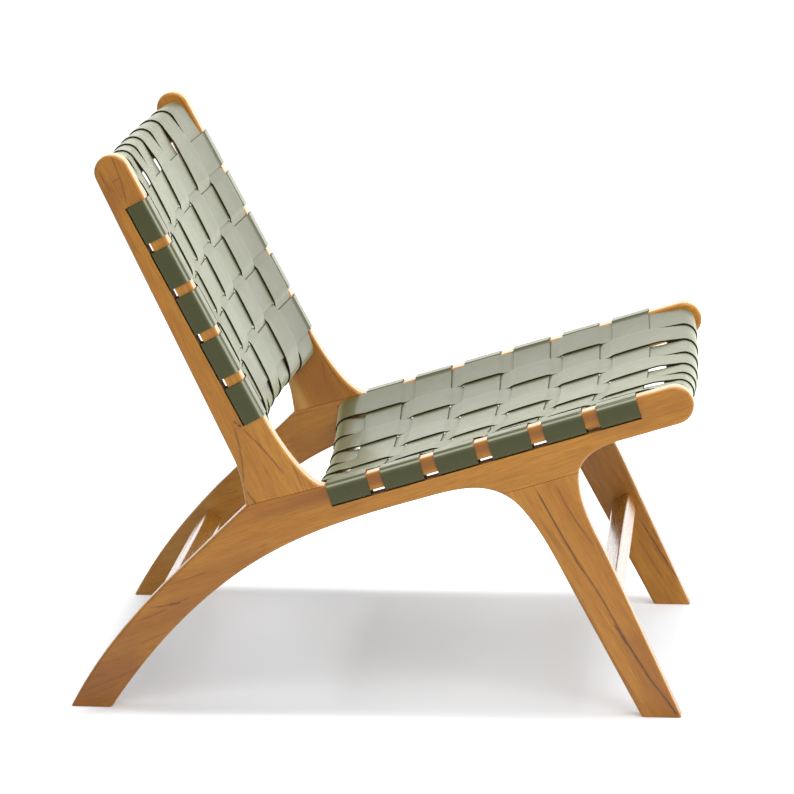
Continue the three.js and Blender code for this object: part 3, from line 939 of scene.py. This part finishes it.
def wrap(rail, target):
    """Line of a long strap round its rail, from the tail below to where it leaves for a point."""
    centre = Vector((rail.outer + rail.way * rail.radius, rail.top - rail.radius))
    reach = rail.radius + OFF_WOOD
    low = rail.top - RAIL_T + rail.radius
    dx = rail.way * (target.x - centre.x)
    dy = target.y - centre.y
    leave = math.degrees(math.atan2(dy, dx) + math.acos(reach / math.hypot(dx, dy)))
    line = [Vector((rail.depth - rail.inner, rail.top - RAIL_T - OFF_WOOD))]
    arc(line, Vector((rail.radius, low)), reach, 270, 180, 12)
    arc(line, Vector((rail.radius, centre.y)), reach, 180, leave, 14)
    return [Vector((rail.outer + rail.way * p.x, p.y)) for p in line]


def long_line(panel, first_rail, last_rail, over_first, arch):
    """Line of a long strap: it drops sharply past the edges of each cross strap that it passes."""
    weave = []
    past, run, left = DROP
    half = CROSS_W / 2 + past
    for i in range(panel.count):
        v = panel.crossing(i)
        way = 1 if (i % 2 == 0) == over_first else -1
        h = -WEAVE_SINK + way * LIFT
        foot = -WEAVE_SINK + way * LIFT * left
        if i > 0:
            weave.append(Vector((v - half - run, foot)))
        for share in (step / 4 for step in range(-4, 5)):
            weave.append(Vector((v + half * share, h + way * arch * (1 - share * share))))
        if i < panel.count - 1:
            weave.append(Vector((v + half + run, foot)))
    head = wrap(first_rail, weave[0])
    tail = wrap(last_rail, weave[-1])
    return eased(head + weave + tail[::-1], STRAP_STEP, 2)


def strap_mesh(line, across, place, out):
    """A sheet that follows a line, with its own coordinates along and across the strap in metres."""
    bm = bmesh.new()
    rows, columns = len(line), len(across)
    bmesh.ops.create_grid(bm, x_segments=rows - 1, y_segments=columns - 1, size=0.5)
    run = lengths(line)
    away = []
    for a, b in zip([line[0], *line], [*line[1:], line[-1]]):
        away.append(Vector((a.y - b.y, b.x - a.x)).normalized())
    own = {}
    for vert in bm.verts:
        i = round((vert.co.x + 0.5) * (rows - 1))
        j = round((vert.co.y + 0.5) * (columns - 1))
        own[vert] = ((run[i] - run[-1] / 2) * MM, across[j] * MM)
        vert.co = place(line[i], across[j], away[i])
    layer = bm.loops.layers.uv.new("strap")
    for face in bm.faces:
        for loop in face.loops:
            loop[layer].uv = own[loop.vert]
    bm.normal_update()
    middle = min(bm.faces, key=lambda f: abs(own[f.verts[0]][0]))
    if middle.normal.dot(out) < 0:
        bmesh.ops.reverse_faces(bm, faces=bm.faces)
    return bm


def stations(width, count):
    """Places across a strap: close together at the two edges, even between them."""
    inner = width / 2 - EDGE_ROW
    middle = [inner * (2 * i / count - 1) for i in range(count + 1)]
    return [-width / 2, *middle, width / 2]


def strap_piece(label, kind, number, bm):
    sizes = bpy.context.scene.chair_sizes
    materials = [finish_named(name) for name in (f"strap_{kind}", "strap_flesh", "strap_edge")]
    name, node = (f"{label}_{kind}_{what}_{number}" for what in ("leather", "strap"))
    piece = make_piece(name, bm, materials, node)
    piece.data.shade_smooth()
    thick = piece.modifiers.new("thickness", "SOLIDIFY")
    thick.thickness, thick.offset = sizes.strap_thickness, 0.0
    thick.use_even_offset = True
    thick.material_offset, thick.material_offset_rim = 1, 2
    edge = piece.modifiers.new("edge", "BEVEL")
    edge.width, edge.segments, edge.profile = sizes.strap_edge, 3, 0.5
    edge.limit_method, edge.angle_limit = "ANGLE", math.radians(50)
    edge.use_clamp_overlap = False


class CHAIR_OT_side_boards(bpy.types.Operator):
    """Makes the two side frames, each of a rail with its rear leg, a back post and a front leg"""

    bl_idname = "chair.side_boards"
    bl_label = "Side boards"

    def plate(self, side, rounding, sole):
        """A whole side with rounded edges, cut level at the floor."""
        bm = bmesh.new()
        start = side * CENTRE_X - BOARD_T / 2
        face = bm.faces.new([bm.verts.new((start, p.x, p.y)) for p in side_outline()])
        made = bmesh.ops.extrude_face_region(bm, geom=[face])["geom"]
        moved = [g for g in made if isinstance(g, bmesh.types.BMVert)]
        bmesh.ops.translate(bm, verts=moved, vec=(BOARD_T, 0, 0))
        face_out(bm)
        rim = {e for f in bm.faces if len(f.verts) > 4 for e in f.edges}
        round_off(bm, list(rim), rounding, 5)
        everything = bm.verts[:] + bm.edges[:] + bm.faces[:]
        bmesh.ops.bisect_plane(
            bm, geom=everything, plane_co=(0, 0, 0), plane_no=(0, 0, 1), clear_inner=True
        )
        low = [v for v in bm.verts if abs(v.co.z) < NEAR]
        bmesh.ops.remove_doubles(bm, verts=low, dist=0.1)
        rim = [e for e in bm.edges if len(e.link_faces) == 1]
        bmesh.ops.edgeloop_fill(bm, edges=rim)
        bm.normal_update()
        face_out(bm)
        round_off(bm, rim, sole, 2)
        return bm

    def cuts(self, side):
        """Slots for the strap ends and mortises for the bars."""
        bm = bmesh.new()
        x = side * CENTRE_X
        for panel in (SEAT, BACK):
            start, stop = panel.woven(FIT)
            box_in(bm, panel, (x, -panel.slot, (start + stop) / 2), (2 * BOARD_T, SLOT_W, stop - start))
        inset = side * (INNER_X + TENON[0] / 2)
        for panel, rail in RAILS.values():
            box_in(bm, panel, (inset, rail.top - RAIL_T / 2, rail.middle()), loose(*TENON))
        for bar in STRETCHERS.values():
            box_in(bm, bar, (inset, 0, 0), loose(TENON[0], BAR_TENON, BAR_TENON))
        return bm

    def seams(self, side, gap):
        """The two glue seams that part a side into rail, post and leg."""
        bm = bmesh.new()
        x = side * CENTRE_X
        end, _ = flare_ends()
        post = Slant(-way_between(end, POST_FOOT), end.x, end.y)
        reach = (Vector(POST_FOOT[:2]) - end).length + sum(SEAM_PAST)
        box_in(bm, post, (x, 0, SEAM_PAST[0] - reach / 2), (2 * BOARD_T, gap, reach))
        middle = sum(LEG_SEAM_V) / 2
        box_in(bm, SEAT, (x, LEG_SEAM_H, middle), (2 * BOARD_T, gap, LEG_SEAM_V[1] - LEG_SEAM_V[0]))
        return bm

    def keys(self, side):
        """Room for the loose tenons."""
        bm = bmesh.new()
        for h, v, width in (POST_KEY, LEG_KEY):
            box_in(bm, SEAT, (side * CENTRE_X, h, v), loose(*KEY, width))
        return bm

    def execute(self, context):
        sizes = context.scene.chair_sizes
        for label, side in SIDES.items():
            board = self.plate(side, sizes.board_edge / MM, sizes.sole_edge / MM)
            for cut in (self.cuts(side), self.keys(side), self.seams(side, sizes.seam_gap / MM)):
                board = combined(board, cut, "DIFFERENCE")
            board.verts.index_update()
            rear = max(board.verts, key=lambda v: v.co.y)
            top = max(board.verts, key=lambda v: v.co.z)
            toe = min(board.verts, key=lambda v: (round(v.co.z), v.co.y))
            for kind, vert, near, node in (
                ("rail", rear, "teak_figured_rail", "side_rail"),
                ("post", top, "teak_knot_post", "back_post"),
                ("leg", toe, "teak_heart_leg", "front_leg"),
            ):
                angle, along, across = BOARD_GRAIN[kind]
                wood_piece(
                    f"{label}_{kind}_board", part_of(board, body_of(vert)),
                    near if side < 0 else f"teak_far_{kind}", f"{label}_{node}",
                    (0, *heading(angle)), (-side * along, across, 0),
                )
            board.free()
            for key in ("post_tenon", "leg_tenon"):
                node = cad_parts[f"{label}_{key}"]
                node.data.materials.clear()
                node.data.materials.append(finish_named("oiled_teak"))
        return {"FINISHED"}


class CHAIR_OT_cross_rails(bpy.types.Operator):
    """Makes the four bowed rails that carry the long straps"""

    bl_idname = "chair.cross_rails"
    bl_label = "Bowed rails"

    def bar(self, panel, rail):
        bm = bar_between(RAIL_T, rail.depth)
        for end, radius in ((-rail.depth / 2, rail.radius), (rail.depth / 2, rail.inner)):
            edges = [
                e for e in long_edges(bm)
                if all(abs(v.co.z - end) < NEAR and abs(abs(v.co.y) - RAIL_T / 2) < NEAR for v in e.verts)
            ]
            round_off(bm, edges, radius, 8)
        bmesh.ops.subdivide_edges(bm, edges=long_edges(bm), cuts=31, use_grid_fill=True)

        def place(co):
            v = rail.middle() + rail.way * co.z
            h = rail.top - RAIL_T / 2 + co.y
            return panel.point(co.x, h - panel.dip(co.x, v), v)

        move(bm, place)
        face_out(bm)
        return bm

    def execute(self, context):
        for i, (name, (panel, rail)) in enumerate(RAILS.items()):
            tenons = end_tenons(panel, rail.top - RAIL_T / 2, rail.middle(), TENON[1:])
            bm = combined(self.bar(panel, rail), tenons, "UNION")
            wood_piece(f"{name}_bar", bm, "oiled_teak", name, (1, 0, 0), (0.31 * i, 0.2 * i, 0.1))
        return {"FINISHED"}


class CHAIR_OT_stretchers(bpy.types.Operator):
    """Makes the two stretchers between the legs"""

    bl_idname = "chair.stretchers"
    bl_label = "Stretchers"

    def execute(self, context):
        rounding = context.scene.chair_sizes.board_edge / MM
        for i, (name, slant) in enumerate(STRETCHERS.items()):
            bm = bar_between(*BAR)
            round_off(bm, long_edges(bm), rounding, 5)
            move(bm, lambda co: slant.point(*co))
            face_out(bm)
            bm = combined(bm, end_tenons(slant, 0, 0, (BAR_TENON, BAR_TENON)), "UNION")
            wood_piece(f"{name}_bar", bm, "polished_teak", name, (1, 0, 0), (0.5 + i, 0.9 * i, 0.6))
        return {"FINISHED"}


class CHAIR_OT_long_straps(bpy.types.Operator):
    """Weaves the long straps of the seat and the back, wrapped round the rails at both ends"""

    bl_idname = "chair.long_straps"
    bl_label = "Long straps"

    def execute(self, context):
        sizes = context.scene.chair_sizes
        width = long_width()
        crown = sizes.strap_crown / MM
        narrow = sizes.roll_gap / MM - sizes.strap_gap / MM
        across = stations(width, 10)
        for label, (panel, rails, odd) in PANELS.items():
            start, stop = panel.woven()
            for i in range(LONG_COUNT):
                line = long_line(panel, *rails, i % 2 == odd, sizes.strap_arch / MM)
                middle = LONG_PITCH * ((LONG_COUNT - 1) / 2 - i)

                def place(p, t, out):
                    past = max(start - p.x, p.x - stop, 0)
                    roll = min(past / ROLL_EASE, 1)
                    x = middle + t * (1 - roll * narrow / width)
                    rise = crown * (1 - (2 * t / width) ** 2) + roll * ROLL_TILT * (0.5 - t / width)
                    q = p + out * rise
                    return panel.point(x, q.y - panel.dip(x, q.x), q.x)

                bm = strap_mesh(line, across, place, panel.off())
                strap_piece(label, "long", i + 1, bm)
        return {"FINISHED"}


class CHAIR_OT_cross_straps(bpy.types.Operator):
    """Weaves the cross straps, each over the side rails and through their slots"""

    bl_idname = "chair.cross_straps"
    bl_label = "Cross straps"

    def half_line(self, panel, v):
        """Middle line from the centre of the panel out to one side, without the bow."""
        step = LONG_PITCH * LONG_COUNT / 2 / HALF_STEPS
        line = [Vector((step * i, -WEAVE_SINK)) for i in range(HALF_STEPS + 1)]
        last = line[-1]
        edge = BOARD_EDGE + OFF_WOOD
        dx = last.x - INNER_X - BOARD_EDGE
        dy = last.y - panel.dip(last.x, v) + BOARD_EDGE
        leave = math.degrees(math.atan2(dy, dx) - math.acos(edge / math.hypot(dx, dy)))
        arc(line, Vector((INNER_X + BOARD_EDGE, -BOARD_EDGE)), edge, leave, 90, 5)
        arc(line, Vector((OUTER_X - BOARD_EDGE, -BOARD_EDGE)), edge, 90, 0, 9)
        bend, ease = SLOT_BEND
        turn = Vector((OUTER_X + OFF_WOOD - bend, -panel.slot + SLOT_W / 2 - ease))
        arc(line, turn, bend, 0, -90, 7)
        arc(line, Vector((INNER_X, -panel.slot - SLOT_W / 2)), OFF_WOOD, 90, 180, 5)
        line.append(Vector((INNER_X - OFF_WOOD, -panel.slot - SLOT_W / 2 - TAB_L)))
        return line

    def execute(self, context):
        across = stations(CROSS_W, 8)
        for label, (panel, *_) in PANELS.items():
            for i in range(panel.count):
                v = panel.crossing(i)
                half = self.half_line(panel, v)
                line = [Vector((-p.x, p.y)) for p in half[:0:-1]] + half

                def place(p, t, _):
                    return panel.point(p.x, p.y - panel.dip(p.x, v + t), v + t)

                bm = strap_mesh(line, across, place, panel.off())
                strap_piece(label, "cross", i + 1, bm)
        return {"FINISHED"}


class CHAIR_OT_tacks(bpy.types.Operator):
    """Sets the tacks that hold the strap ends, inside the side boards and under the bowed rails"""

    bl_idname = "chair.tacks"
    bl_label = "Tacks"

    def places(self, panel, rails, skin):
        """Where the tacks of a panel stand on the tabs and the tails, and which way they face."""
        low = -panel.slot - SLOT_W / 2 - TAB_L * TACK_DROP
        for i, side, aside in product(range(panel.count), SIDES.values(), TACK_PLACES):
            v = panel.crossing(i) + aside * CROSS_W
            yield panel.point(side * (INNER_X - skin), low, v), Vector((-side, 0, 0))
        for rail, i, aside in product(rails, range(LONG_COUNT), TACK_PLACES):
            v = rail.outer + rail.way * (rail.depth - rail.inner - TACK_INSET)
            x = LONG_PITCH * ((LONG_COUNT - 1) / 2 - i + aside)
            yield panel.point(x, rail.top - RAIL_T - skin - panel.dip(x, v), v), -panel.off()

    def head(self, bm, radius, place, out):
        """Adds one low domed head that stands on a point and faces out."""
        made = bmesh.ops.create_uvsphere(bm, u_segments=10, v_segments=6, radius=radius)["verts"]
        for vert in made:
            vert.co.z = max(vert.co.z, 0) * TACK_RISE
        turn = Vector((0, 0, 1)).rotation_difference(out).to_matrix()
        bmesh.ops.rotate(bm, verts=made, cent=(0, 0, 0), matrix=turn)
        bmesh.ops.translate(bm, verts=made, vec=place)

    def execute(self, context):
        sizes = context.scene.chair_sizes
        skin = OFF_WOOD + sizes.strap_thickness / (2 * MM)
        for label, (panel, rails, _) in PANELS.items():
            bm = bmesh.new()
            for place, out in self.places(panel, rails, skin):
                self.head(bm, sizes.tack_radius / MM, place, out)
            bm.normal_update()
            face_out(bm)
            smooth(make_piece(f"{label}_tacks", bm, [finish_named("tack")]), TACK_SMOOTH)
        return {"FINISHED"}


class CHAIR_OT_stage(bpy.types.Operator):
    """Makes the pale floor, the soft light and the camera"""

    bl_idname = "chair.stage"
    bl_label = "Stage"

    def floor(self, context):
        """A matt disc that also glows where it is seen, less so in a box under the chair: a painted
        shadow, darker towards the rear.
        """
        bm = bmesh.new()
        bmesh.ops.create_circle(bm, cap_ends=True, segments=96, radius=FLOOR_R)
        floor = mesh_object("studio_floor", bm)
        floor.location.z = FLOOR_Z
        material, tree, *_ = new_material("studio_floor")
        tree.nodes.remove(tree.nodes["Principled BSDF"])
        x, y, _ = parts_of(object_place(tree))
        aside = abs(x) - SHADED_X
        outside = aside.math("MAXIMUM", abs(y - SHADED_Y) - SHADED_REACH)
        # Painted shadow: inside the box the glow is lower, lowest towards the rear
        under = spread(y, -0.1, 0.3, 0.28, 0.06)
        level = spread(outside, -0.03, 0.12, under, 0.8)
        matt = add_value(tree, "BsdfDiffuse", {"Color": context.scene.chair_stage.floor})
        glow = add_value(tree, "Emission", {"Strength": seen_rays(tree) * level})
        both = add_value(tree, "AddShader", {0: matt, 1: glow})
        feed(tree.nodes["Material Output"].inputs, {"Surface": both})
        floor.data.materials.append(material)

    def world(self, context):
        world = context.scene.world or bpy.data.worlds.new("studio")
        context.scene.world = world
        world.use_nodes = True
        tree = world.node_tree
        tree.nodes.clear()
        level = context.scene.chair_stage.world_level
        strength = seen_rays(tree) * (1 - level) + level
        sky = add_value(tree, "Background", {"Color": (1, 1, 1, 1), "Strength": strength})
        add_node(tree, "OutputWorld", {"Surface": sky})

    def aimed(self, name, data, place, way):
        """Sets a lamp or a camera at a place, looking along a way."""
        thing = new_object(name, data)
        thing.location = place
        thing.rotation_mode = "QUATERNION"
        thing.rotation_quaternion = Vector(way).to_track_quat("-Z", "Y")
        return thing

    def lamp(self, name, place, aim, extent, power):
        data = bpy.data.lights.new(name, "AREA")
        data.shape, data.energy = "RECTANGLE", power
        data.size, data.size_y = extent
        self.aimed(name, data, place, Vector(aim) - Vector(place)).visible_camera = False

    def camera(self, context):
        data = bpy.data.cameras.new("camera")
        data.sensor_width, data.lens = SENSOR, SENSOR * FOCAL_PX / PICTURE_PX
        data.clip_start, data.clip_end = 0.1, 100
        x, y, z = CAMERA_PLACE
        pitch = math.radians(CAMERA_PITCH)
        way = (*(heading(CAMERA_YAW) * math.cos(pitch)), -math.sin(pitch))
        place = Vector((x, y + DATUM_Y, z)) * MM
        context.scene.camera = self.aimed("camera", data, place, way)

    def execute(self, context):
        self.camera(context)
        self.floor(context)
        self.world(context)
        for name, (place, aim, extent, setting) in LAMPS.items():
            self.lamp(name, place, aim, extent, getattr(context.scene.chair_stage, setting))
        context.scene.view_settings.view_transform = "Standard"
        return {"FINISHED"}


class CHAIR_PT_panel(bpy.types.Panel):
    """Lists the steps that dress the chair"""

    bl_idname = "CHAIR_PT_panel"
    bl_label = "Woven strap chair"
    bl_space_type = "VIEW_3D"
    bl_region_type = "UI"
    bl_category = "Chair"

    def draw(self, context):
        for step in STEPS:
            self.layout.operator(step.bl_idname)
        for group in (context.scene.chair_sizes, context.scene.chair_colours, context.scene.chair_stage):
            for name in group.bl_rna.properties.keys():
                if name not in ("rna_type", "name"):
                    self.layout.prop(group, name)


GROUPS = {"chair_sizes": ChairSizes, "chair_colours": ChairColours, "chair_stage": StageSettings}
STEPS = (
    CHAIR_OT_side_boards,
    CHAIR_OT_cross_rails,
    CHAIR_OT_stretchers,
    CHAIR_OT_long_straps,
    CHAIR_OT_cross_straps,
    CHAIR_OT_tacks,
    CHAIR_OT_stage,
)


def register():
    for item in (*GROUPS.values(), *STEPS, CHAIR_PT_panel):
        bpy.utils.register_class(item)
    for name, item in GROUPS.items():
        setattr(bpy.types.Scene, name, PointerProperty(type=item))


def unregister():
    for name in GROUPS:
        delattr(bpy.types.Scene, name)
    for item in reversed((*GROUPS.values(), *STEPS, CHAIR_PT_panel)):
        bpy.utils.unregister_class(item)


def main():
    register()
    bpy.ops.chair.stage()
    bpy.ops.chair.side_boards()
    bpy.ops.chair.cross_rails()
    bpy.ops.chair.stretchers()
    bpy.ops.chair.long_straps()
    bpy.ops.chair.cross_straps()
    bpy.ops.chair.tacks()


if __name__ == "__main__":
    main()
